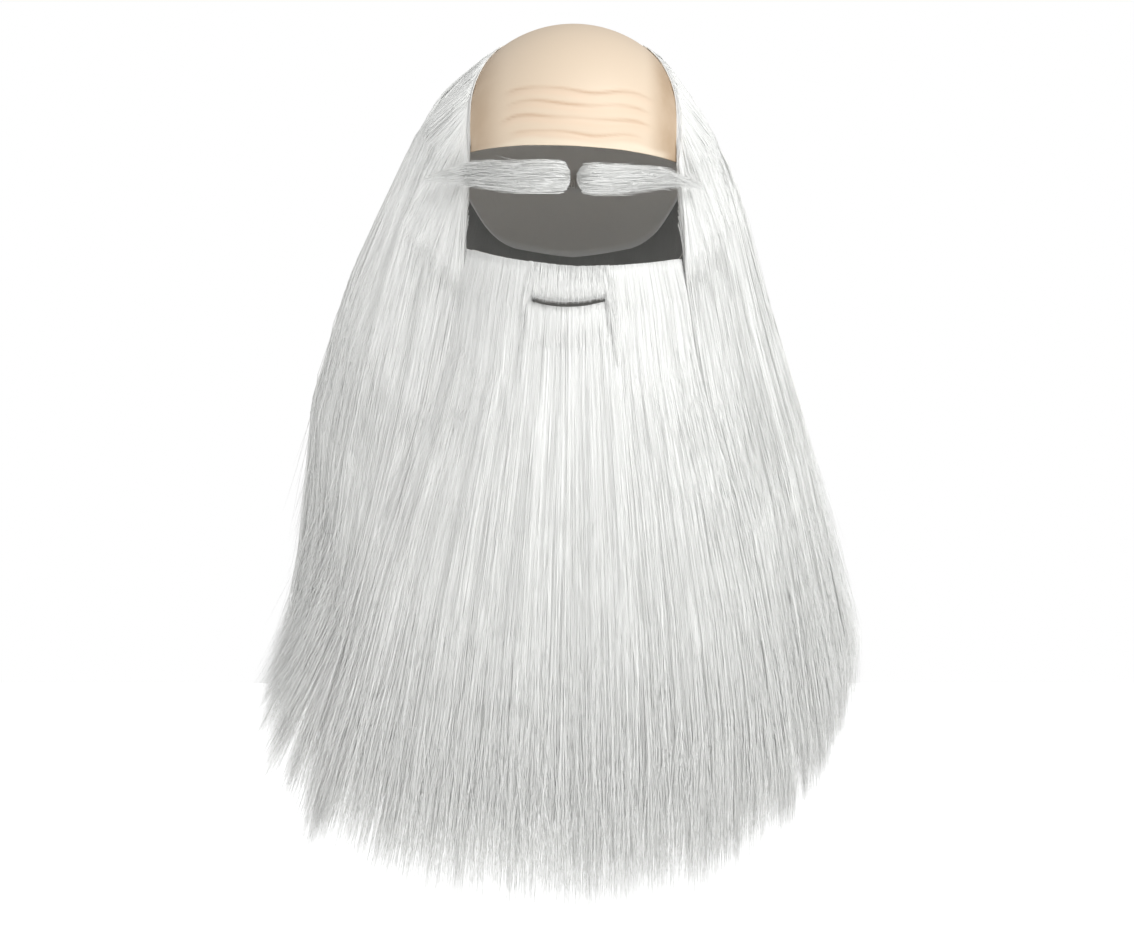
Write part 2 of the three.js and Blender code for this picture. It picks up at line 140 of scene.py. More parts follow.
def faceOutwards(sheet):
    # the outer wall is the one laid out, so its faces point away from the hollow
    outwards = sum(face.normal.xy.dot(face.center.xy) * face.area for face in sheet.data.polygons)
    if outwards < 0:
        sheet.data.flip_normals()


def addWall(sheet, wall):
    solid = sheet.modifiers.new("wall", "SOLIDIFY")
    solid.thickness = wall * mm
    solid.offset = -1  # inwards
    solid.use_even_offset = False
    bpy.context.view_layer.objects.active = sheet
    bpy.ops.object.modifier_apply(modifier=solid.name)


def keepInside(body):
    # the painted inner shade is taken off the outer wall, whose points come first
    layer = body.data.attributes["inside"].data
    values = np.empty(len(layer), np.float32)
    layer.foreach_get("value", values)
    values[:len(layer) // 2] = 0
    layer.foreach_set("value", values)


def fibreMap(count, rings):
    # each fibre has its own small cell of the map, so that a texture can hold its tone
    cells = math.ceil(math.sqrt(count))
    cell = np.stack([np.arange(count) % cells, np.arange(count) // cells], axis=-1)[:, None, None, :]
    corner = np.arange(3)[None, :]
    level = np.arange(rings - 1)[:, None]
    ways = ((0, 0), (1, 0), (1, 1), (0, 1))
    sides = np.stack([np.stack([(corner + a) / 3 + 0 * level, (level + b) / rings + 0 * corner], axis=-1)
                      for a, b in ways], axis=2).reshape(1, -1, 4, 2)
    top = (rings - 1) / rings
    points = np.array([[[c / 3, top], [(c + 1) / 3, top], [(c + 0.5) / 3, 1]] for c in range(3)])[None]
    root = np.array([[[0, 0], [0.3, 0.05], [0.6, 0]]])[None]
    parts = (sides, points, root)
    return np.concatenate([((cell + 0.1 + 0.8 * part) / cells).reshape(-1, 2) for part in parts])


def strandMesh(name, paths, radius, tone, rng):
    # every strand is a closed three-sided fibre that ends in a point, and all of them are one mesh
    count, points = paths.shape[:2]
    rings = points - 1
    tangent = np.gradient(paths, axis=1)
    tangent /= np.linalg.norm(tangent, axis=2, keepdims=True) + 1e-12
    lean = np.broadcast_to(rng.normal(size=(count, 1, 3)), paths.shape)
    side = np.cross(tangent, lean)
    side /= np.linalg.norm(side, axis=2, keepdims=True) + 1e-12
    up = np.cross(tangent, side)
    turns = np.radians([0, 120, 240])
    ring = side[:, :, None] * np.cos(turns)[:, None] + up[:, :, None] * np.sin(turns)[:, None]
    body = (paths[:, :, None] + ring * radius[:, :, None, None])[:, :rings]
    verts = np.concatenate([body.reshape(count, rings * 3, 3), paths[:, -1:]], axis=1)
    first = (np.arange(count) * (rings * 3 + 1))[:, None, None]
    corner = np.arange(3)[None, None, :]
    following = (corner + 1) % 3
    low = first + (np.arange(rings - 1) * 3)[None, :, None]
    quads = np.stack([low + corner, low + following, low + 3 + following, low + 3 + corner], axis=-1)
    high = first + (rings - 1) * 3
    tips = np.stack([high + corner, high + following, first + rings * 3 + 0 * corner], axis=-1)
    roots = first[:, 0] + [0, 2, 1]
    corners = np.concatenate([quads.ravel(), tips.ravel(), roots.ravel()])
    sizes = np.repeat([4, 3], [quads.size // 4, count * 4])
    mesh = bpy.data.meshes.new(name)
    mesh.vertices.add(verts.shape[0] * verts.shape[1])
    mesh.vertices.foreach_set("co", verts.astype(np.float32).ravel())
    mesh.loops.add(len(corners))
    mesh.loops.foreach_set("vertex_index", corners.astype(np.int32))
    mesh.polygons.add(len(sizes))
    mesh.polygons.foreach_set("loop_start", (np.cumsum(sizes) - sizes).astype(np.int32))
    mesh.polygons.foreach_set("use_smooth", np.ones(len(sizes), bool))
    layer = mesh.attributes.new("tone", "FLOAT", "POINT")
    layer.data.foreach_set("value", np.repeat(tone, rings * 3 + 1).astype(np.float32))
    cellMap = fibreMap(count, rings).astype(np.float32)
    mesh.uv_layers.new(name="OFBake").uv.foreach_set("vector", cellMap.ravel())
    mesh.update(calc_edges=True)
    strands = bpy.data.objects.new(name, mesh)
    bpy.context.scene.collection.objects.link(strands)
    return strands


def fibreRadius(rng, count, along, thick):
    size = thick * rng.uniform(0.75, 1.2, (count, 1))
    return size * (1 - 0.55 * along[None, :] ** 3) * mm


def settle(piece, material, slotName, *nodes):
    piece.data.materials.clear()
    piece.data.materials.append(material)
    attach(piece, "root")
    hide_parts(*nodes)


# Finishes

def newGroup(name, inputs, outputs):
    kinds = {"value": "NodeSocketFloat", "colour": "NodeSocketColor"}
    group = bpy.data.node_groups.new(name, "ShaderNodeTree")
    for label, kind in inputs:
        group.interface.new_socket(label, in_out="INPUT", socket_type=kinds[kind])
    for label, kind in outputs:
        group.interface.new_socket(label, in_out="OUTPUT", socket_type=kinds[kind])
    return group, group.nodes.new("NodeGroupInput"), group.nodes.new("NodeGroupOutput")


def strandStreakGroup():
    # the tone of a fibre, and on the body of the hair fine streaks that follow its flow
    inputs = (("Tone", "value"), ("Streaks", "value"), ("Light", "colour"), ("Shade", "colour"))
    group, entry, leave = newGroup("strand streaks", inputs, (("Color", "colour"), ("Height", "value")))
    nodes, links = group.nodes, group.links
    place = nodes.new("ShaderNodeTexCoord")
    stretch = nodes.new("ShaderNodeMapping")
    stretch.inputs["Scale"].default_value = (380, 5, 1)
    fine = nodes.new("ShaderNodeTexNoise")
    fine.noise_dimensions = "2D"
    fine.inputs["Scale"].default_value = 1
    fine.inputs["Detail"].default_value = 3
    fine.inputs["Roughness"].default_value = 0.7
    middle = nodes.new("ShaderNodeMath")
    middle.operation = "SUBTRACT"
    middle.inputs[1].default_value = 0.5
    amount = nodes.new("ShaderNodeMath")
    amount.operation = "MULTIPLY_ADD"
    mix = nodes.new("ShaderNodeMix")
    mix.data_type = "RGBA"
    links.new(place.outputs["UV"], stretch.inputs["Vector"])
    links.new(stretch.outputs["Vector"], fine.inputs["Vector"])
    links.new(fine.outputs["Fac"], middle.inputs[0])
    links.new(middle.outputs[0], amount.inputs[0])
    links.new(entry.outputs["Streaks"], amount.inputs[1])
    links.new(entry.outputs["Tone"], amount.inputs[2])
    links.new(amount.outputs[0], mix.inputs["Factor"])
    links.new(entry.outputs["Shade"], mix.inputs["A"])
    links.new(entry.outputs["Light"], mix.inputs["B"])
    links.new(mix.outputs["Result"], leave.inputs["Color"])
    links.new(fine.outputs["Fac"], leave.inputs["Height"])
    return group


def clothWeaveGroup():
    # fine threads across and along, as a height and a slight change of tone
    inputs = (("Threads", "value"), ("Light", "colour"), ("Shade", "colour"))
    group, entry, leave = newGroup("cloth weave", inputs, (("Color", "colour"), ("Height", "value")))
    nodes, links = group.nodes, group.links
    place = nodes.new("ShaderNodeTexCoord")
    waves = []
    for direction in ("X", "Y"):
        wave = nodes.new("ShaderNodeTexWave")
        wave.bands_direction = direction
        links.new(place.outputs["UV"], wave.inputs["Vector"])
        links.new(entry.outputs["Threads"], wave.inputs["Scale"])
        waves.append(wave)
    height = nodes.new("ShaderNodeMath")
    height.operation = "MULTIPLY"
    mix = nodes.new("ShaderNodeMix")
    mix.data_type = "RGBA"
    links.new(waves[0].outputs["Fac"], height.inputs[0])
    links.new(waves[1].outputs["Fac"], height.inputs[1])
    links.new(height.outputs[0], mix.inputs["Factor"])
    links.new(entry.outputs["Shade"], mix.inputs["A"])
    links.new(entry.outputs["Light"], mix.inputs["B"])
    links.new(mix.outputs["Result"], leave.inputs["Color"])
    links.new(height.outputs[0], leave.inputs["Height"])
    return group


def newMaterial(name, roughness, specular):
    material = bpy.data.materials.new(name)
    material.use_nodes = True
    shader = material.node_tree.nodes["Principled BSDF"]
    shader.inputs["Roughness"].default_value = roughness
    shader.inputs["Specular IOR Level"].default_value = specular
    return material, material.node_tree.nodes, material.node_tree.links, shader


def placeGroup(nodes, group, light, shade):
    node = nodes.new("ShaderNodeGroup")
    node.node_tree = group
    node.inputs["Light"].default_value = (*light, 1)
    node.inputs["Shade"].default_value = (*shade, 1)
    return node


def addBump(nodes, links, shader, height, depth):
    bump = nodes.new("ShaderNodeBump")
    bump.inputs["Distance"].default_value = depth * mm
    links.new(height, bump.inputs["Height"])
    links.new(bump.outputs["Normal"], shader.inputs["Normal"])


def hairFinish(name, light, shade, group, streakAmount):
    material, nodes, links, shader = newMaterial(name, 0.62, 0.22)
    tone = nodes.new("ShaderNodeAttribute")
    tone.attribute_name = "tone"
    colour = placeGroup(nodes, group, light, shade)
    colour.inputs["Streaks"].default_value = streakAmount
    links.new(tone.outputs["Fac"], colour.inputs["Tone"])
    links.new(colour.outputs["Color"], shader.inputs["Base Color"])
    if streakAmount:
        addBump(nodes, links, shader, colour.outputs["Height"], 0.5)
        # the inner wall of the body gets a painted shade colour
        shadeInside(nodes, links, shader, colour.outputs["Color"], deep=(0.4, 0.4, 0.39))
    return material


def shadeInside(nodes, links, shader, colour, deep):
    # painted shade on the inner side of the hair body: a dark colour stands for the light lost among the
    # fibres
    inside = nodes.new("ShaderNodeAttribute")
    inside.attribute_name = "inside"
    mix = nodes.new("ShaderNodeMix")
    mix.data_type = "RGBA"
    mix.inputs["B"].default_value = (*deep, 1)
    links.new(inside.outputs["Fac"], mix.inputs["Factor"])
    links.new(colour, mix.inputs["A"])
    links.new(mix.outputs["Result"], shader.inputs["Base Color"])


def clothFinish(name, light, shade, threads, group):
    material, nodes, links, shader = newMaterial(name, 0.9, 0.2)
    cloth = placeGroup(nodes, group, light, shade)
    cloth.inputs["Threads"].default_value = threads
    links.new(cloth.outputs["Color"], shader.inputs["Base Color"])
    addBump(nodes, links, shader, cloth.outputs["Height"], 0.3)
    return material


def capFinish():
    # pale rubber, tinted by hand: tan sides, brown wrinkles, warm swellings beside them and a cream rim
    paleRubber = (0.755, 0.62, 0.475)
    tints = {
        "tanned": (0.42, 0.285, 0.168),
        "warmed": (0.80, 0.575, 0.42),
        "wrinkled": (0.52, 0.32, 0.19),
        "rim": (0.84, 0.73, 0.58),
    }
    material, nodes, links, shader = newMaterial("cap rubber", 0.48, 0.35)
    place = nodes.new("ShaderNodeTexCoord")
    mottle = nodes.new("ShaderNodeTexNoise")
    mottle.inputs["Scale"].default_value = 38
    mottle.inputs["Detail"].default_value = 5
    links.new(place.outputs["Object"], mottle.inputs["Vector"])
    spread = nodes.new("ShaderNodeMapRange")
    for label, value in (("From Min", 0.3), ("From Max", 0.7), ("To Min", 0.6), ("To Max", 1.0)):
        spread.inputs[label].default_value = value
    links.new(mottle.outputs["Fac"], spread.inputs["Value"])
    last = None
    for mark, tint in tints.items():
        amount = nodes.new("ShaderNodeAttribute")
        amount.attribute_name = mark
        uneven = nodes.new("ShaderNodeMath")
        uneven.operation = "MULTIPLY"
        mix = nodes.new("ShaderNodeMix")
        mix.data_type = "RGBA"
        mix.inputs["A"].default_value = (*paleRubber, 1)
        mix.inputs["B"].default_value = (*tint, 1)
        links.new(amount.outputs["Fac"], uneven.inputs[0])
        links.new(spread.outputs["Result"], uneven.inputs[1])
        links.new(uneven.outputs[0], mix.inputs["Factor"])
        if last:
            links.new(last.outputs["Result"], mix.inputs["A"])
        last = mix
    links.new(last.outputs["Result"], shader.inputs["Base Color"])
    pores = nodes.new("ShaderNodeTexNoise")
    pores.inputs["Scale"].default_value = 420
    links.new(place.outputs["Object"], pores.inputs["Vector"])
    addBump(nodes, links, shader, pores.outputs["Fac"], 0.08)
    return material


streaks = strandStreakGroup()
weave = clothWeaveGroup()
fibreFinish = hairFinish("white fibre", light=(0.945, 0.95, 0.935), shade=(0.865, 0.87, 0.855),
                         group=streaks, streakAmount=0)
bodyFinish = hairFinish("white hair body", light=(0.93, 0.935, 0.92), shade=(0.76, 0.765, 0.755),
                        group=streaks, streakAmount=1)
baseClothFinish = clothFinish("base cloth", light=(0.95, 0.95, 0.93), shade=(0.86, 0.86, 0.84),
                              threads=160, group=weave)
backingClothFinish = clothFinish("backing cloth", light=(0.95, 0.95, 0.93), shade=(0.87, 0.87, 0.85),
                                 threads=110, group=weave)
elasticFinish = clothFinish("elastic", light=(0.88, 0.87, 0.84), shade=(0.72, 0.71, 0.68),
                            threads=60, group=weave)
print("finishes made")


# Bald cap

cap = {
    "wall": 1.5, "columns": 144, "rows": 104, "frontTurn": 64, "creasedFrom": 0.7,
    "rim": {
        "angle": [0, 25, 45, 61, 64, 71, 80, 100, 130, 180],
        "drop": [88.5, 89, 90.5, 92, 64, 41, 25, 20, 23, 31],
    },
    "wrinkles": {"drop": [51, 60.3, 69.6, 79.6], "from": [-47, -47, -50, -43], "to": [56, 53, 54, 48]},
    "wave": {"x": [-50, -39, -28, -7, 13, 33, 42, 54], "drop": [3.8, -1.2, -2, 0, 2.3, 1, 1.8, 5.8]},
    "grooveWidth": 1.0, "grooveDepth": 0.75, "bulge": 0.45, "frontReach": 20,
    "leftTan": {"from": 42, "reach": 24, "amount": 0.68},
    "rightTan": {"from": 46, "reach": 18, "amount": 1.0},
    "crownDarkening": {"reach": 26, "amount": 0.03},
    "rimTint": {"below": 2.5, "reach": 4, "halfWidth": 56, "fade": 10, "amount": 0.9},
    "warmth": 0.38, "wrinkleTint": 0.75,
}


def wrinkleMarks(x, drop):
    # depth of the creases, and the warm swellings just below them
    wave = readTable(cap["wave"], "x", x, "drop", 3)
    lines = cap["wrinkles"]
    crease, swelling = np.zeros_like(x), np.zeros_like(x)
    for turn, (middle, start, end) in enumerate(zip(lines["drop"], lines["from"], lines["to"])):
        drift = 0.5 * np.sin(x * 0.13 + turn * 1.9)
        off = (drop - (middle + wave + drift)) / cap["grooveWidth"]
        fade = smoothStep((x - start) / 10) * smoothStep((end - x) / 12)
        uneven = 0.72 + 0.28 * np.sin(x * 0.09 + turn * 2.3)
        crease += fade * uneven * np.exp(-off * off)
        swelling += fade * np.exp(-((off - 3) / 2.4) ** 2)
    return crease, swelling


def capPlace(angle, share, lift):
    turned = np.abs(angle)
    rim = readTable(cap["rim"], "angle", turned, "drop")
    slope = head["lean"] * head["halfWidth"] * np.sin(np.radians(angle))
    lean = np.where(turned < cap["frontTurn"], slope, 0)
    tilt = share * np.arccos(np.clip(1 - rim / head["crownHeight"], 0, 1))
    skirt = np.maximum(0, (share - cap["creasedFrom"]) / (1 - cap["creasedFrom"]))
    below = np.maximum(0, rim + lean - head["crownHeight"])
    drop = head["crownHeight"] * (1 - np.cos(tilt)) + below * skirt
    points = onHead(angle, np.minimum(drop, head["crownHeight"]), lift)
    points[:, 2] -= np.maximum(0, drop - head["crownHeight"])
    return points


def capTan(x, drop):
    left, right, crown = cap["leftTan"], cap["rightTan"], cap["crownDarkening"]
    sides = left["amount"] * smoothStep((-x - left["from"]) / left["reach"])
    sides = sides + right["amount"] * smoothStep((x - right["from"]) / right["reach"])
    # the colour also gets slightly darker and browner towards the crown
    return sides + crown["amount"] * smoothStep((crown["reach"] - drop) / crown["reach"])


def rimTint(x, drop):
    # the cream edge starts below the last wrinkle and ends before the sides
    tint = cap["rimTint"]
    lastLine = cap["wrinkles"]["drop"][-1] + readTable(cap["wave"], "x", x, "drop", 3)
    under = smoothStep((drop - lastLine - tint["below"]) / tint["reach"])
    return tint["amount"] * under * (1 - smoothStep((np.abs(x) - tint["halfWidth"]) / tint["fade"]))


def capShape(u, v):
    angle = (u - 0.5) * 360
    share = 1 - (1 - v) ** 1.25
    points = capPlace(angle, share, cap["wall"])
    x, drop = points[:, 0], -points[:, 2]
    front = smoothStep(-points[:, 1] / cap["frontReach"])
    crease, swelling = wrinkleMarks(x, drop)
    lift = cap["wall"] + (cap["bulge"] * swelling - cap["grooveDepth"] * crease) * front
    points = capPlace(angle, share, lift)
    marks = {
        "tanned": capTan(x, drop),
        "warmed": cap["warmth"] * swelling * front,
        "wrinkled": cap["wrinkleTint"] * crease * front,
        "rim": rimTint(x, drop) * front,
    }
    return points, marks


baldCap = gridSheet("cap_rubber", cap["columns"], cap["rows"], capShape, cap["wall"])
settle(baldCap, capFinish(), "cap_rubber", "bald_cap")
print("bald cap made")


# Cloth base of the wig: its rim hugs the cap, and the hair is sewn to it in rows

base = {
    "wall": 0.8, "rimLift": 2.45, "lift": 3.2, "rise": 14, "rows": 32, "columns": 130, "firstAngle": 58,
    "edges": {
        "angle": [58, 60, 67, 75, 85, 100, 118, 140, 180],
        "top": [84, 62, 36, 20, 14.5, 14.5, 16, 19, 24.5],
        "bottom": [112, 114, 114, 106, 95, 94, 112, 142, 150],
    },
}


def baseShape(u, v):
    angle = base["firstAngle"] + (360 - 2 * base["firstAngle"]) * u
    turned = np.minimum(angle, 360 - angle)
    top = readTable(base["edges"], "angle", turned, "top")
    bottom = readTable(base["edges"], "angle", turned, "bottom", 10)
    drop = blend(top, bottom, v ** 1.3)
    lift = blend(base["rimLift"], base["lift"], smoothStep((drop - top) / base["rise"]))
    return onHead(angle, drop, lift), {}


wigBase = gridSheet("base_cloth", base["columns"], base["rows"], baseShape, base["wall"])
settle(wigBase, baseClothFinish, "base_cloth", "wig_base")
print("wig base made")


# Hair that hangs as a curtain: a streaked body under fine fibres, which gather in tufts towards their tips
# A curtain gives the place, root, tip and depth of the hair at a share of its width

fibres = {
    "radius": 0.2, "along": [0, 0.015, 0.07, 0.18, 0.36, 0.56, 0.76, 0.9, 1],
    "deepRoots": 45, "rootCurve": 2.5, "gather": 0.62, "gatherCurve": 1.8, "gatherSpread": (0.2, 1.1),
    "frizzFrom": 0.6, "frizz": 6, "frizzSteps": (0.5, 1, 1.9), "wave": 0.7, "sway": 2,
    "stray": 0.05, "strayReach": 9, "short": 0.16, "shortBy": 110,
    "tipShort": -6, "tipSpread": 9, "tipMost": 4, "mostLonger": 6,
    "skin": 1.6, "under": 2.2, "depth": 0.55, "opensFrom": 0.55, "mostLift": 7,
    "flickFrom": 0.7, "flickCurve": 2.2, "flickSpread": (0.4, 1.25),
    "tone": 0.55, "toneSpread": 0.2, "tuftTone": 0.11, "layerShade": 0.12,
}
hairBody = {"wall": 1.2, "tone": 0.6, "rowCurve": 1.3, "scallop": 5, "insideFrom": 25, "insideReach": 30}
locks = {"height": 0.8, "rise": 90, "broad": 64, "narrow": 27, "twist": 90}


def lockSwell(curtain, share, drop, root):
    # broad soft locks down the hair
    turn = 2 * math.pi * share * curtain["width"]
    rise = smoothStep((drop - root) / locks["rise"])
    narrow = np.sin(turn / locks["narrow"] + drop / locks["twist"])
    return locks["height"] * rise * (np.sin(turn / locks["broad"] + 1) + 0.7 * narrow)


def layerDepth(curtain, drop, along):
    # the fibres lie close on the body, and part from it towards their tips
    full = curtain["thick"](drop) * fibres["depth"]
    opens = smoothStep((along - fibres["opensFrom"]) / (1 - fibres["opensFrom"]))
    return blend(np.minimum(fibres["skin"], full), full, opens)


def curtainBody(name, curtain, columns, rows):
    def place(u, v):
        root = curtain["root"](u)
        scallop = np.sin(u * curtain["tufts"] * 0.7) + np.sin(u * curtain["tufts"] * 1.7 + 1)
        tip = curtain["tip"](u) - curtain["bodyShort"] - hairBody["scallop"] * scallop
        drop = blend(root, tip, v ** hairBody["rowCurve"])
        share = blend(-curtain["beyond"], 1 + curtain["beyond"], u)
        lift = lockSwell(curtain, share, drop, root) - layerDepth(curtain, drop, v) - fibres["under"]
        # painted shade on the inner wall, fading in below the roots
        deep = smoothStep((drop - root - hairBody["insideFrom"]) / hairBody["insideReach"])
        return curtain["place"](share, drop, lift, root), {"tone": hairBody["tone"] + 0 * u, "inside": deep}
    body = gridSheet(name, columns, rows, place, hairBody["wall"])
    keepInside(body)
    return body


def curtainFibres(name, curtain, count, seed):
    rng = np.random.default_rng(seed)
    along = np.array(fibres["along"])
    tufts = curtain["tufts"]
    # each fibre belongs to a tuft, and starts beside the tuft's middle in one of many rows
    tuft = np.arange(count) % tufts
    middle = ((np.arange(tufts) + rng.random(tufts)) / tufts)[tuft]
    row = rng.random(count) ** fibres["rootCurve"]
    layer = 0.35 * rng.random(tufts)[tuft] + 0.3 * rng.random(count) + 0.35 * row
    middle = blend(-curtain["beyond"], 1 + curtain["beyond"], middle)
    share = middle + rng.normal(0, curtain["tuftWidth"], count)
    share = np.clip(share, -curtain["beyond"], 1 + curtain["beyond"])
    root = curtain["root"](share) + row * fibres["deepRoots"]
    # whole tufts and single fibres end unevenly, and some fibres are much shorter
    longer = rng.normal(0, curtain["uneven"], tufts)[tuft]
    single = rng.normal(fibres["tipShort"], fibres["tipSpread"], count)
    longer = longer + np.minimum(single, fibres["tipMost"])
    tip = curtain["tip"](share) + np.minimum(longer, fibres["mostLonger"])
    tip -= fibres["shortBy"] * (rng.random(count) < fibres["short"]) * rng.random(count)
    drop = blend(root[:, None], tip[:, None], along)
    # the tufts gather and drift towards their tips, where the fibres part and frizz
    gather = fibres["gather"] * along ** fibres["gatherCurve"]
    gather = gather * rng.uniform(*fibres["gatherSpread"], (count, 1))
    drift = rng.normal(0, curtain["drift"], tufts)[tuft][:, None] * along ** 2
    loose = smoothStep((along - fibres["frizzFrom"]) / (1 - fibres["frizzFrom"])) ** 1.5
    frizz = rng.normal(0, fibres["frizz"], (count, 2)) * rng.choice(fibres["frizzSteps"], (count, 1))
    swing = np.sin(rng.uniform(0, 6, (count, 1)) + along * rng.uniform(2, 6, (count, 1))) * along
    sideways = (frizz[:, :1] * loose + rng.normal(0, fibres["sway"], (count, 1)) * swing) / curtain["width"]
    across = blend(share[:, None], middle[:, None], gather) + drift + sideways
    # the ends flick outwards, and a few fibres stand off
    bend = np.clip((along - fibres["flickFrom"]) / (1 - fibres["flickFrom"]), 0, 1) ** fibres["flickCurve"]
    strength = rng.uniform(*fibres["flickSpread"], tufts)[tuft]
    shift = curtain["flick"](share)[:, None] * bend * strength[:, None]
    stray = (rng.random((count, 1)) < fibres["stray"]) * rng.uniform(2, fibres["strayReach"], (count, 1))
    wave = rng.normal(0, fibres["wave"], (count, 1)) * swing
    lift = wave + 0.6 * frizz[:, 1:] * loose + stray * along ** 1.4
    lift = np.minimum(lift, fibres["mostLift"]) - layer[:, None] * layerDepth(curtain, drop, along)
    lift = lift + lockSwell(curtain, across, drop, root[:, None])
    paths = curtain["place"](across, drop, lift, root[:, None], shift) * mm
    tone = rng.normal(fibres["tone"], fibres["toneSpread"], count)
    # fibres that lie deeper in the hair get a painted shade
    tone = tone + rng.normal(0, fibres["tuftTone"], tufts)[tuft] - fibres["layerShade"] * layer
    radius = fibreRadius(rng, count, along, fibres["radius"])
    return strandMesh(name, paths, radius, np.clip(tone, 0, 1), rng)


# Long hair of the wig

hair = {
    "rootLift": 4.2, "rootSink": 1.8, "sinkReach": 6, "leastLift": 2.4, "outerLift": 6.8, "rise": 30,
    "startTurn": 25, "tuftStep": 11, "sideTufts": 4.3, "backFlick": 6,
    "templeDrop": 92, "crownDrop": 15, "backDip": 9.5, "fallReach": 90, "leastFall": 6,
    "shoulderDrop": 240, "shoulderReach": 200, "sideOpening": 0.28, "backOpening": 0.33,
    "hairline": {"drop": [9, 18, 35, 62, 92], "angle": [82.5, 73, 67.6, 61.2, 59]},
    "frontEdge": {
        "drop": [92, 112, 153, 188, 223, 267, 326, 406, 485, 570],
        "left": [71, 73, 76.5, 80.5, 85, 97, 115, 137, 155, 165],
        "right": [71, 73, 76.5, 80.5, 84, 95, 111, 127, 135, 126],
        "y": [-57.5, -55.5, -55, -59, -69, -85, -95, -100, -102, -102],
    },
    "outline": {
        "drop": [9, 14, 24, 38, 56, 79, 100, 127, 158, 185, 219, 253, 307, 358, 398, 425, 447, 480, 520],
        "left": [50, 57, 69, 83, 97, 109, 118, 131, 145, 155, 166, 174, 178, 181, 185, 196, 208, 203, 195],
        "right": [45, 51, 61, 73, 86, 98, 108, 117, 124, 130, 140, 150, 164, 177, 187, 190, 184, 178, 160],
        "back": [60, 69, 81, 96, 108, 117, 122, 126, 129, 131, 132, 133, 133, 133, 133, 133, 134, 134, 134],
        "thick": [3, 4, 6, 10, 14, 17, 18, 18, 18, 18, 18, 18, 17, 16, 15, 13, 12, 10, 8],
    },
    "sideTips": {
        "share": [0, 0.15, 0.35, 0.7, 1],
        "left": [546, 528, 492, 453, 430],
        "right": [532, 522, 506, 478, 448],
    },
    "sideFlick": {
        "share": [0, 0.15, 0.35, 0.7, 1],
        "left": [8, 20, 33, 16, 8],
        "right": [4, 10, 16, 10, 4],
    },
    "backTips": {"share": [0, 0.5, 1], "drop": [455, 500, 455]},
}


def outlineAt(drop, column):
    return readTable(hair["outline"], "drop", drop, column, 12)


def overShoulder(drop):
    return smoothStep((drop - hair["shoulderDrop"]) / hair["shoulderReach"])


def hairThick(drop):
    return readTable(hair["outline"], "drop", drop, "thick")


def hugRoot(x, y, drop, root, lift):
    # the hair lies close to the base at its roots, and stands off it further down
    sunk = hair["rootSink"] * (1 - smoothStep((drop - root) / hair["sinkReach"]))
    near = 1 / headShare(x, y, drop, hair["rootLift"] - sunk + 0.25 * np.clip(lift, -6, 2))
    away = smoothStep((drop - root) / hair["rise"])
    return blend(x * near, x, away), blend(y * near, y, away)


def hairFront(drop, side):
    angle = np.radians(readTable(hair["hairline"], "drop", drop, "angle", 2))
    around = levelShare(drop, hair["outerLift"])
    x = (head["halfWidth"] + hair["outerLift"]) * around * np.sin(angle)
    y = -(head["halfLength"] + hair["outerLift"]) * around * np.cos(angle)
    hangs = smoothStep((drop - hair["templeDrop"] + 6) / 12)
    return (blend(x, readTable(hair["frontEdge"], "drop", drop, side, 12), hangs),
            blend(y, readTable(hair["frontEdge"], "drop", drop, "y", 12), hangs))


def sideRoot(share):
    return blend(hair["templeDrop"], hair["crownDrop"], np.clip(share, 0, 1))


def sideTip(side):
    # the lower edge falls in a few steps, one for each large tuft
    def tip(share):
        step = share * hair["sideTufts"] + 0.4
        return readTable(hair["sideTips"], "share", share, side) + hair["tuftStep"] * (2 * (step % 1) - 1)
    return tip


def sidePlace(side, sign):
    start = math.radians(hair["startTurn"])

    def place(share, drop, lift, root, shift=0):
        share = np.maximum(share, -0.06)
        fall = np.maximum(hair["leastFall"], hair["fallReach"] * (1 - np.clip(share, 0, 1)))
        swing = smoothStep((drop - sideRoot(share)) / fall)
        opening = 1 - hair["sideOpening"] * overShoulder(drop)
        turn = start + (math.pi / 2 - start) * share * swing * opening
        frontX, frontY = hairFront(drop, side)
        outward = (np.sin(turn) - math.sin(start)) / (1 - math.sin(start))
        x = sign * (blend(frontX, outlineAt(drop, side), outward) + np.sin(turn) * lift + shift)
        y = frontY * np.cos(turn) / math.cos(start) - np.cos(turn) * lift
        x, y = hugRoot(x, y, drop, root, lift)
        x, y = clearOfHead(x, y, drop, hair["leastLift"])
        return np.stack([x, y, -drop], axis=-1)
    return place


def backRoot(share):
    return hair["crownDrop"] + hair["backDip"] * np.sin(math.pi * np.clip(share, 0, 1))


def backTip(share):
    return readTable(hair["backTips"], "share", share, "drop")


def backPlace(share, drop, lift, root, shift=0):
    start = hair["backOpening"] * overShoulder(drop) * math.pi / 2
    turn = start + (math.pi - 2 * start) * share
    width = blend(outlineAt(drop, "left"), outlineAt(drop, "right"), smoothStep(share))
    x = shift - (width + lift) * np.cos(turn)
    y = (outlineAt(drop, "back") + lift) * np.sin(turn)
    x, y = hugRoot(x, y, drop, root, lift)
    x, y = clearOfHead(x, y, drop, hair["leastLift"])
    return np.stack([x, y, -drop], axis=-1)


def sideFlick(side):
    # the ends of the side hair turn outwards
    def flick(share):
        return readTable(hair["sideFlick"], "share", share, side)
    return flick


def backFlick(share):
    return hair["backFlick"] * (2 * share - 1)


def hairCurtain(place, root, tip, flick, width, tufts, bodyShort):
    return {
        "place": place, "root": root, "tip": tip, "flick": flick, "thick": hairThick, "width": width,
        "tufts": tufts, "tuftWidth": 1.6 / tufts, "drift": 5 / width, "uneven": 10,
        "bodyShort": bodyShort, "beyond": 0.05,
    }


def sideCurtain(side, sign, width):
    return hairCurtain(sidePlace(side, sign), sideRoot, sideTip(side), sideFlick(side),
                       width=width, tufts=90, bodyShort=70)


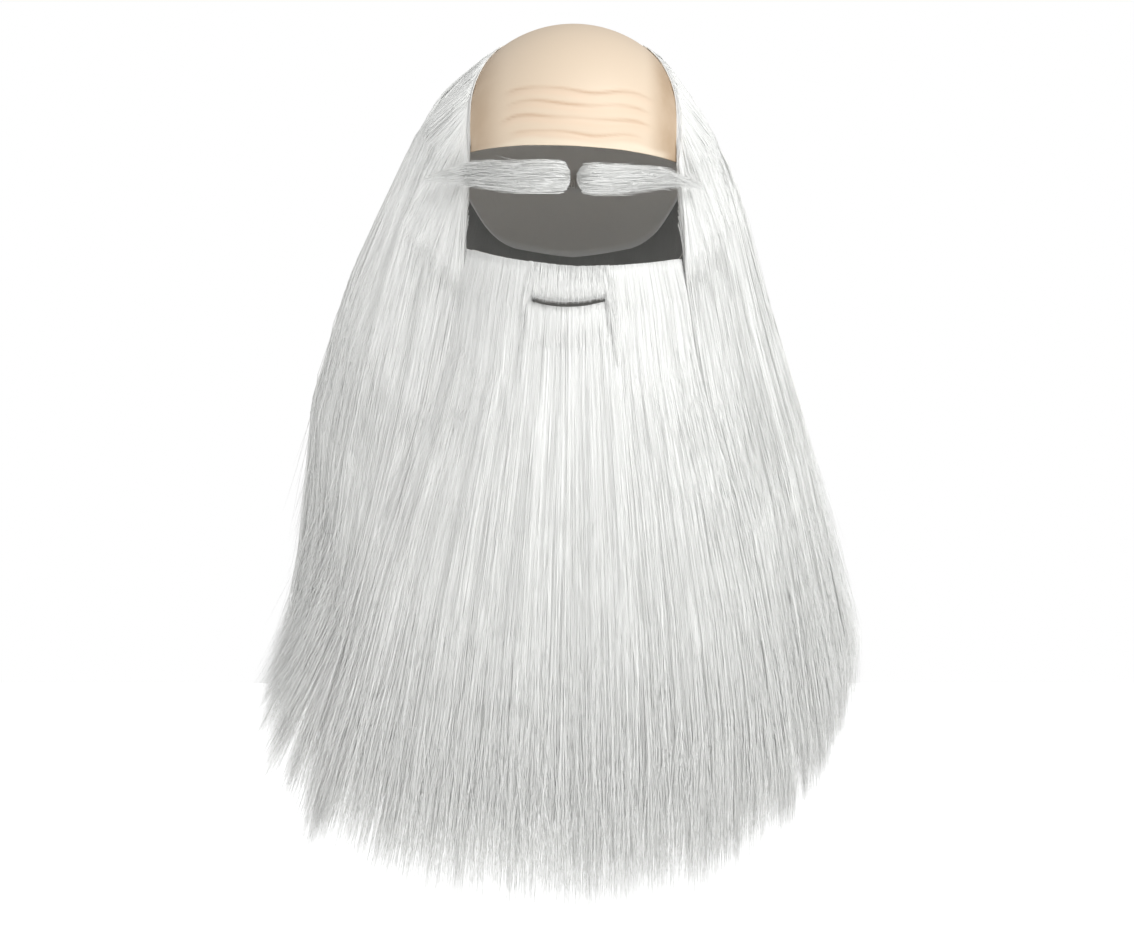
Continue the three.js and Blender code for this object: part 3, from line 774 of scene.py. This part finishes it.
leftCurtain = sideCurtain("left", -1, width=190)
rightCurtain = sideCurtain("right", 1, width=170)
backCurtain = hairCurtain(backPlace, backRoot, backTip, backFlick, width=420, tufts=150, bodyShort=45)
wigHair = (
    ("hair_left", "left_hair", leftCurtain, 3000, 110, 11),
    ("hair_right", "right_hair", rightCurtain, 3000, 110, 12),
    ("hair_back", "back_hair", backCurtain, 2400, 140, 13),
)
for node, name, curtain, count, columns, seed in wigHair:
    settle(curtainBody(name + "_body", curtain, columns, 36), bodyFinish, "wig_hair", node)
    settle(curtainFibres(name + "_fibres", curtain, count, seed), fibreFinish, "wig_hair", node)
    print(name, "made")


# Beard

beard = {
    "bowTurn": 50, "lipDrop": 166, "cornerDrop": 155, "tipDrop": 582, "tipRise": 46, "cheekHalfWidth": 65,
    "mouthTurn": 0.3, "mouthShift": -0.04, "mouthEnd": 0.015, "mouthDrop": 187, "mouthDip": 4.2,
    "mouthOpen": 2.2, "rootBelow": 1.2, "rootRise": 32, "mostSunk": 3, "sunkShare": 0.85, "rootShare": 0.3,
    "looseFrom": 20, "fibres": 3300,
    "outline": {
        "drop": [153, 188, 223, 267, 326, 406, 485, 570],
        "left": [71, 76, 80, 92, 110, 132, 150, 160],
        "right": [71, 76, 79, 90, 106, 122, 130, 120],
        "front": [-112.5, -117, -121, -125, -128, -130, -130, -128],
        "edge": [-59, -63, -73, -89, -99, -104, -106, -106],
        "thick": [2.8, 6, 10, 18, 22, 20, 15, 8],
    },
    "chin": {"x": 3, "drop": 215, "halfWidth": 21, "halfHeight": 22, "swell": 4},
    "folds": {
        "drop": [184, 190, 213, 245, 262],
        "left": [-28, -30, -35, -38, -40],
        "right": [20, 22, 29, 34, 36],
        "depth": [0, 1.6, 1.6, 0.8, 0],
    },
    "foldWidth": 2.4,
    "flick": {"share": [0, 0.15, 0.35, 0.65, 0.85, 1], "shift": [-12, -10, -2, 2, 5, 6]},
}


def beardAt(drop, column):
    return readTable(beard["outline"], "drop", drop, column, 10)


def beardThick(drop):
    return readTable(beard["outline"], "drop", drop, "thick")


def bowSection(turn, halfWidth, front, edge, lift):
    last = math.radians(beard["bowTurn"])
    angle = turn * last
    across = halfWidth / math.sin(last)
    deep = (edge - front) / (1 - math.cos(last))
    outX, outY = deep * np.sin(angle), -across * np.cos(angle)
    size = np.hypot(outX, outY)
    x = across * np.sin(angle) + outX / size * lift
    y = edge - deep * (np.cos(angle) - math.cos(last)) + outY / size * lift
    return x, y


def beardTop(turn):
    turn = np.clip(turn, -1, 1)
    level = blend(beard["lipDrop"], beard["cornerDrop"], np.abs(turn) ** 1.5)
    return level + head["lean"] * beard["cheekHalfWidth"] * turn


def mouthLine(turn):
    # the slit dips in its middle
    off = (turn - beard["mouthShift"]) / beard["mouthTurn"]
    return beard["mouthDrop"] + beard["mouthDip"] * np.clip(1 - off ** 2, 0, 1)


def pastMouth(turn):
    # 0 between the corners of the slit, and 1 past them
    end = beard["mouthEnd"]
    return smoothStep((np.abs(turn - beard["mouthShift"]) - beard["mouthTurn"] + end) / (2 * end))


def onBeard(turn, drop, lift):
    rightward = smoothStep(turn / 0.3 + 0.5)
    halfWidth = blend(beardAt(drop, "left"), beardAt(drop, "right"), rightward)
    chin = beard["chin"]
    x, y = bowSection(turn, halfWidth, beardAt(drop, "front"), beardAt(drop, "edge"), lift)
    away = ((x - chin["x"]) / chin["halfWidth"]) ** 2 + ((drop - chin["drop"]) / chin["halfHeight"]) ** 2
    y = y - chin["swell"] * np.exp(-away)
    for side in ("left", "right"):
        # soft folds run down from the corners of the slit
        off = (x - readTable(beard["folds"], "drop", drop, side)) / beard["foldWidth"]
        y = y + readTable(beard["folds"], "drop", drop, "depth") * np.exp(-off * off)
    return np.stack([x, y, -drop + 0 * x], axis=-1)


def beardRoot(share):
    turn = 2 * share - 1
    onTop = beardTop(turn) + beard["rootBelow"]
    return blend(onTop, mouthLine(turn) + beard["mouthOpen"], 1 - pastMouth(turn))


def beardTip(share):
    return beard["tipDrop"] - beard["tipRise"] * np.abs(2 * share - 1) ** 2.5


def rootSunk(drop, root):
    # the roots lie on the cloth backing
    deep = np.minimum(beard["mostSunk"], beardThick(root) * beard["sunkShare"])
    return deep * (1 - smoothStep((drop - root) / beard["rootRise"]))


def beardPlace(share, drop, lift, root, shift=0):
    freed = blend(beard["rootShare"], 1, smoothStep((drop - root) / beard["looseFrom"]))
    held = np.maximum(lift, -beardThick(drop)) * freed
    points = onBeard(2 * share - 1, drop, held - rootSunk(drop, root))
    points[..., 0] += shift
    return points


def beardFlick(share):
    return readTable(beard["flick"], "share", share, "shift")


beardCurtain = {
    "place": beardPlace, "root": beardRoot, "tip": beardTip, "flick": beardFlick, "thick": beardThick,
    "width": 330, "tufts": 190, "tuftWidth": 1.6 / 190, "drift": 5 / 330, "uneven": 7, "bodyShort": 62,
    "beyond": 0.02,
}
settle(curtainBody("beard_body", beardCurtain, 180, 40), bodyFinish, "beard_hair", "beard_hair")
for name, seed in (("beard_fibres_one", 21), ("beard_fibres_two", 22)):
    settle(curtainFibres(name, beardCurtain, beard["fibres"], seed), fibreFinish, "beard_hair", "beard_hair")
print("beard hair made")


# Moustache: a short fringe cut over the slit, with a few longer ends that fall past its corners

moustache = {
    "count": 1400, "points": 6, "radius": 0.18,
    "sideTurn": 0.335, "spread": 0.1, "bulge": 0.7, "lay": (-0.9, 0.2),
    "rootBelow": 0.7, "rootCurve": 1.8, "rootDepth": 13, "sideRootDepth": 26, "least": 6,
    "trim": (-1.8, 1.3), "sideDrop": 222, "sideShort": -8, "sideSpread": 16,
    "bodyBeyond": 0.03, "bodySunk": 1, "bodyAbove": 1.2, "columns": 50, "rows": 12,
}


def moustacheFibres():
    rng = np.random.default_rng(31)
    count = moustache["count"]
    along = np.linspace(0, 1, moustache["points"])
    turn = rng.uniform(-1, 1, count) * moustache["sideTurn"] + beard["mouthShift"]
    outer = pastMouth(turn)
    deepest = blend(moustache["rootDepth"], moustache["sideRootDepth"], outer)
    root = beardTop(turn) + moustache["rootBelow"] + rng.random(count) ** moustache["rootCurve"] * deepest
    short = mouthLine(turn) + rng.uniform(*moustache["trim"], count)
    long = moustache["sideDrop"] + rng.normal(moustache["sideShort"], moustache["sideSpread"], count)
    tip = np.maximum(blend(short, long, outer), root + moustache["least"])
    drop = blend(root[:, None], tip[:, None], along)
    spread = 1 + moustache["spread"] * along ** 1.5 * outer[:, None]
    moved = turn[:, None] * spread + rng.normal(0, 0.012, (count, 1)) * along
    lift = rng.uniform(*moustache["lay"], (count, 1)) + moustache["bulge"] * np.sin(along * 2.8)
    lift = lift - rootSunk(drop, beardTop(turn)[:, None])
    paths = onBeard(moved, drop, lift) * mm
    tone = np.clip(rng.normal(fibres["tone"], fibres["toneSpread"], count), 0, 1)
    radius = fibreRadius(rng, count, along, moustache["radius"])
    return strandMesh("moustache_fibres", paths, radius, tone, rng)


def moustacheBody():
    def place(u, v):
        turn = (2 * u - 1) * (beard["mouthTurn"] + moustache["bodyBeyond"]) + beard["mouthShift"]
        top = beardTop(turn)
        drop = blend(top + 1, mouthLine(turn) - moustache["bodyAbove"], v)
        lift = -moustache["bodySunk"] - rootSunk(drop, top)
        return onBeard(turn, drop, lift), {"tone": hairBody["tone"] + 0 * v}
    return gridSheet("moustache_body", moustache["columns"], moustache["rows"], place, hairBody["wall"])


settle(moustacheBody(), bodyFinish, "beard_hair", "moustache")
settle(moustacheFibres(), fibreFinish, "beard_hair", "moustache")
print("moustache made")


# Cloth backing of the beard, with its slit

backing = {
    "wall": 2, "bottom": 248, "topBelow": 1.6, "columns": 100, "rows": 50,
    "slitAbove": 1.2, "slitBelow": 3.4, "slitRows": [0.3, 0.36],
    "outline": {
        "drop": [153, 188, 223, 250],
        "halfWidth": [65, 65, 60, 52],
        "front": [-107, -108, -108, -104],
        "edge": [-58, -60, -62, -62],
    },
}


def backingAt(drop, column):
    return readTable(backing["outline"], "drop", drop, column, 6)


def backingShape(u, v):
    # two of its rows follow the slit, and the faces between them are cut out
    turn = 2 * u - 1
    line = mouthLine(turn)
    first, last = backing["slitRows"]
    top = beardTop(turn) + backing["topBelow"]
    above = blend(top, line - backing["slitAbove"], np.clip(v / first, 0, 1))
    slit = np.clip((v - first) / (last - first), 0, 1) * (backing["slitAbove"] + backing["slitBelow"])
    below = np.clip((v - last) / (1 - last), 0, 1) * (backing["bottom"] - line - backing["slitBelow"])
    drop = above + slit + below
    x, y = bowSection(turn, backingAt(drop, "halfWidth"), backingAt(drop, "front"), backingAt(drop, "edge"),
                      backing["wall"])
    inSlit = (v > first - 0.001) & (v < last + 0.001)
    inSlit &= np.abs(turn - beard["mouthShift"]) < beard["mouthTurn"] + 0.001
    return np.stack([x, y, -drop], axis=-1), {"slit": inSlit}


def cutMouth(sheet):
    work = bmesh.new()
    work.from_mesh(sheet.data)
    mark = work.verts.layers.float["slit"]
    slit = [face for face in work.faces if all(corner[mark] > 0.5 for corner in face.verts)]
    bmesh.ops.delete(work, geom=slit, context="FACES")
    work.to_mesh(sheet.data)
    work.free()


beardBacking = gridSheet("backing_cloth", backing["columns"], backing["rows"], backingShape, 0)
cutMouth(beardBacking)
addWall(beardBacking, backing["wall"])
settle(beardBacking, backingClothFinish, "backing_cloth", "beard_backing")
print("beard backing made")


# Elastic of the beard, from corner to corner round the back

elastic = {
    "lift": 0.4, "wall": 0.8, "width": 7, "columns": 140, "rows": 4,
    "cornerTurn": 55, "below": 7, "riseTurn": 60, "napeDrop": 98,
}


def elasticShape(u, v):
    angle = elastic["cornerTurn"] + (360 - 2 * elastic["cornerTurn"]) * u
    turned = np.minimum(angle, 360 - angle)
    corner = beardTop(np.where(angle < 180, 1, -1)) + elastic["below"]
    risen = smoothStep((turned - elastic["cornerTurn"]) / elastic["riseTurn"])
    level = blend(corner, elastic["napeDrop"], risen)
    return onHead(angle, level + (v - 0.5) * elastic["width"], elastic["lift"] + elastic["wall"]), {}


beardElastic = gridSheet("elastic_strap", elastic["columns"], elastic["rows"], elasticShape, elastic["wall"])
settle(beardElastic, elasticFinish, "elastic", "beard_elastic")
print("elastic made")


# Brows: dense tufts swept from a blunt inner end outwards, with long wisps at the outer end

brow = {
    "count": 1150, "points": 6, "radius": 0.18, "tone": 0.6, "inner": 0.5,
    "lastReach": 108, "wispFrom": 54, "standOff": 0.5,
    "innerEnd": 2, "innerRound": 3.5, "innerFuzz": 1.8, "firstRoot": 6, "rootReach": 66,
    "innerLength": (25, 74), "length": (18, 44), "ruffle": 0.13, "upsweep": 0.1,
    "loose": 0.16, "looseShare": 0.14,
    "bodyFrom": 6.5, "bodyReach": 66, "bodyAcross": 0.82, "bodyStand": 0.48, "columns": 18, "rows": 60,
    "outline": {
        "reach": [2, 3.5, 6, 11, 20, 36, 54, 70, 88, 108],
        "y": [-100.5, -100.5, -100.5, -100, -97.5, -90, -75, -66, -62.5, -57],
        "leftDrop": [109, 109, 109, 109, 109, 109, 107.5, 107, 109.5, 113],
        "rightDrop": [109.5, 109.5, 109.5, 109.3, 108.7, 107, 104.3, 104.5, 106, 108],
        "leftHeight": [6.5, 8.2, 9.2, 9.8, 9.8, 9.4, 8.7, 7.2, 4, 1.4],
        "rightHeight": [4.5, 6.8, 8.6, 9.4, 9.4, 8.5, 6.4, 4.2, 2.4, 1.2],
        "thick": [4, 6, 8, 9.5, 10, 10, 8.5, 6, 3, 1.4],
    },
}


def browAt(reach, column):
    return readTable(brow["outline"], "reach", reach, column, 1.5)


def onBrow(sign, lastReach, reach, across, stand):
    wisp = np.maximum(0, (reach - brow["wispFrom"]) / (brow["lastReach"] - brow["wispFrom"]))
    x = sign * reach * (1 + (lastReach / brow["lastReach"] - 1) * wisp)
    slope = np.arctan2(browAt(reach + 2, "y") - browAt(reach - 2, "y"), 4)
    out = stand * browAt(reach, "thick") * np.sqrt(np.clip(1 - across ** 2, 0, 1)) + brow["standOff"]
    side = "left" if sign < 0 else "right"
    drop = browAt(reach, side + "Drop") + head["lean"] * x + browAt(reach, side + "Height") * across
    y = browAt(reach, "y") - np.cos(slope) * out
    return np.stack([x + sign * np.sin(slope) * out, y, -drop], axis=-1)


def browFibres(name, sign, lastReach, seed):
    rng = np.random.default_rng(seed)
    count = brow["count"]
    along = np.linspace(0, 1, brow["points"])
    across = rng.uniform(-1, 1, count)
    fromEnd = rng.random(count) < brow["inner"]
    fuzz = np.abs(rng.normal(0, brow["innerFuzz"], count))
    innerEnd = brow["innerEnd"] + brow["innerRound"] * across ** 4 + fuzz
    start = np.where(fromEnd, innerEnd, brow["firstRoot"] + brow["rootReach"] * rng.random(count))
    length = np.where(fromEnd, rng.uniform(*brow["innerLength"], count), rng.uniform(*brow["length"], count))
    reach = np.minimum(start[:, None] + length[:, None] * along, brow["lastReach"])
    ruffle = rng.normal(0, brow["ruffle"], (count, 1)) * along ** 1.5 + brow["upsweep"] * along
    loose = brow["loose"] * (rng.random((count, 1)) < brow["looseShare"])
    moved = across[:, None] * (1 - 0.1 * along + loose) + ruffle
    stand = rng.uniform(0.45, 1, (count, 1)) * smoothStep(0.35 + along * 3)
    paths = onBrow(sign, lastReach, reach, np.clip(moved, -1.15, 1.15), stand)
    paths[:, :, 2] -= rng.normal(0, 1.5, (count, 1)) * along ** 2
    tone = np.clip(rng.normal(brow["tone"], fibres["toneSpread"], count), 0, 1)
    return strandMesh(name, paths * mm, fibreRadius(rng, count, along, brow["radius"]), tone, rng)


def browBody(name, sign, lastReach):
    def place(u, v):
        reach = brow["bodyFrom"] + brow["bodyReach"] * v
        across = (2 * u - 1) * brow["bodyAcross"] * np.clip(0.5 + 0.1 * (reach - brow["bodyFrom"]), 0, 1)
        stand = brow["bodyStand"] * smoothStep(0.3 + v * 8)
        return onBrow(sign, lastReach, reach, across, stand), {"tone": hairBody["tone"] + 0 * u}
    return gridSheet(name, brow["columns"], brow["rows"], place, hairBody["wall"])


browPair = (("brow_left", "left_brow", -1, 100, 41), ("brow_right", "right_brow", 1, 86, 42))
for node, name, sign, lastReach, seed in browPair:
    settle(browBody(name + "_body", sign, lastReach), bodyFinish, "brow_hair", node)
    settle(browFibres(name + "_fibres", sign, lastReach, seed), fibreFinish, "brow_hair", node)
print("brows made")


# Floor, light and camera

studio = {
    "floorDrop": 0.8, "floorSize": 12, "floorTone": 0.9, "floorGlow": 0.55, "ambient": 0.42,
    "lights": {
        "key": {"tilt": 51, "turn": 50, "spread": 35, "strength": 1.25},
        "front": {"tilt": 54, "turn": 16, "spread": 45, "strength": 1.05},
    },
    "distance": 2.4, "facePlane": -0.09, "sceneWidth": 0.7371, "sensor": 36,
    "middleX": -0.0042, "middleZ": -0.2942,
}


def makeFloor():
    deselectAll()
    bpy.ops.mesh.primitive_plane_add(size=studio["floorSize"], location=(0, 0, -studio["floorDrop"]))
    floor = bpy.context.object
    floor.name = "floor"
    material, nodes, links, shader = newMaterial("floor", 0.9, 0.1)
    tone = studio["floorTone"]
    shader.inputs["Base Color"].default_value = (tone, tone, tone, 1)
    shader.inputs["Emission Color"].default_value = (1, 1, 1, 1)
    shader.inputs["Emission Strength"].default_value = studio["floorGlow"]
    floor.data.materials.append(material)


def softLight(name, tilt, turn, spread, strength):
    # a broad even light, tilted from straight down and turned about the vertical
    light = bpy.data.lights.new(name, "SUN")
    light.angle = math.radians(spread)
    light.energy = strength
    lamp = bpy.data.objects.new(name, light)
    lamp.rotation_euler = (math.radians(tilt), 0, math.radians(turn))
    bpy.context.scene.collection.objects.link(lamp)


def makeWorld():
    # the object is lit by an even dome, and the background shows as white
    world = bpy.data.worlds.new("studio")
    world.use_nodes = True
    nodes, links = world.node_tree.nodes, world.node_tree.links
    dome = nodes["Background"]
    dome.inputs["Color"].default_value = (1, 1, 1, 1)
    dome.inputs["Strength"].default_value = studio["ambient"]
    backdrop = nodes.new("ShaderNodeBackground")
    backdrop.inputs["Color"].default_value = (1, 1, 1, 1)
    path = nodes.new("ShaderNodeLightPath")
    mix = nodes.new("ShaderNodeMixShader")
    links.new(path.outputs["Is Camera Ray"], mix.inputs[0])
    links.new(dome.outputs[0], mix.inputs[1])
    links.new(backdrop.outputs[0], mix.inputs[2])
    links.new(mix.outputs[0], nodes["World Output"].inputs["Surface"])
    bpy.context.scene.world = world


def makeStudio():
    for name, values in studio["lights"].items():
        softLight(name, **values)
    makeWorld()
    bpy.context.scene.view_settings.view_transform = "Standard"


def makeCamera():
    lens = bpy.data.cameras.new("camera")
    lens.sensor_width = studio["sensor"]
    lens.lens = studio["sensor"] * studio["distance"] / studio["sceneWidth"]
    camera = bpy.data.objects.new("camera", lens)
    camera.location = (studio["middleX"], studio["facePlane"] - studio["distance"], studio["middleZ"])
    camera.rotation_euler = (math.pi / 2, 0, 0)
    bpy.context.scene.collection.objects.link(camera)
    bpy.context.scene.camera = camera


makeFloor()
makeStudio()
makeCamera()

triangles = 0
for piece in bpy.data.objects:
    if piece.type == "MESH" and piece.name not in frame["nodes"] and piece.name != "floor":
        piece.data.calc_loop_triangles()
        triangles += len(piece.data.loop_triangles)
print("triangles added:", triangles)
